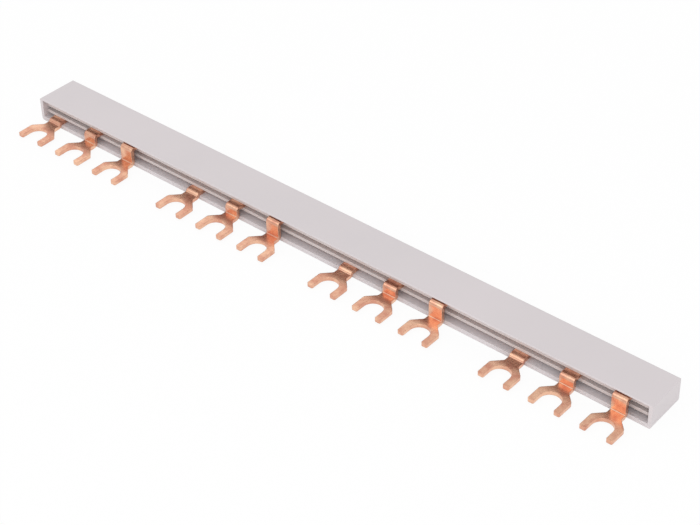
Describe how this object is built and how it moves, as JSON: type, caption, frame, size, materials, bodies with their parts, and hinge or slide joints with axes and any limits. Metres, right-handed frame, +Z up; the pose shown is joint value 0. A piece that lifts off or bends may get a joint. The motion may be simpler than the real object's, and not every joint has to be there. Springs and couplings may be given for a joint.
{
  "type": "comb busbar",
  "caption": "Long flat busbar in an insulating housing, with bent copper fork terminals standing out along one long side.",
  "frame": {"origin": "under the middle of the whole part's box, on the face that it rests on", "axes": "+X along the busbar towards the end with the upper comb's last fork, the forks point to -Y, +Z up"},
  "size_m": [0.206, 0.023, 0.0071],
  "materials": {
    "housing_plastic": "light warm grey moulded thermoplastic, satin",
    "strip_plastic": "light warm grey extruded strip, satin",
    "copper": "bare rolled copper, satin, with clean stamped edges"
  },
  "bodies": {
    "root": {"housing": "housing_plastic", "lower_strip": "strip_plastic", "upper_strip": "strip_plastic", "lower_comb": "copper", "middle_comb": "copper", "upper_comb": "copper"}
  },
  "joints": []
}
